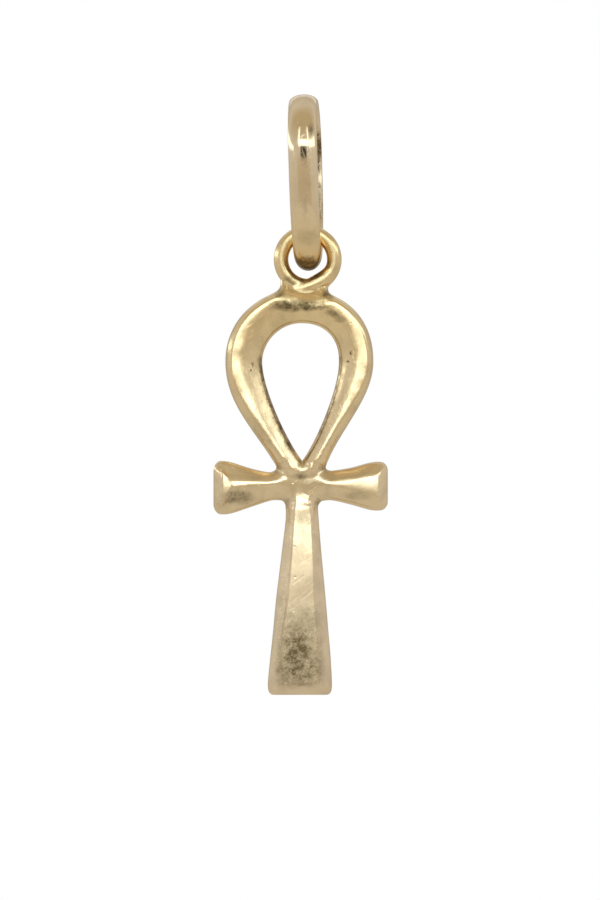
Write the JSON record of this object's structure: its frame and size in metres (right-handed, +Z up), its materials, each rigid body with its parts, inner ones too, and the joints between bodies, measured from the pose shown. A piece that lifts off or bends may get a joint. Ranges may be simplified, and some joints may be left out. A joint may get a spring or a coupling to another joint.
{
  "type": "ankh pendant",
  "caption": "Cast gold looped-cross pendant with flared arms and stem, its own round ring on top, hanging from a plain oval bail for a chain.",
  "frame": {"origin": "the top of the bail's opening, in the middle of the band, where a chain bears", "axes": "+Z up, against the pull of the pendant's weight; +X to the right as seen from the front, along the chain; the front faces -Y"},
  "size_m": [0.0102, 0.0072, 0.0353],
  "materials": {
    "bail_gold": "polished",
    "cast_gold": "polished"
  },
  "bodies": {
    "hanger": {"bail": "bail_gold"},
    "cross": {"ankh": "cast_gold"}
  },
  "joints": [
    {"name": "pendant_swing", "type": "hinge", "parent": "hanger", "child": "cross", "pos_m": [0.00022, 0, -0.00881], "axis": [0, 1, 0], "range_deg": [-90, 90]}
  ]
}
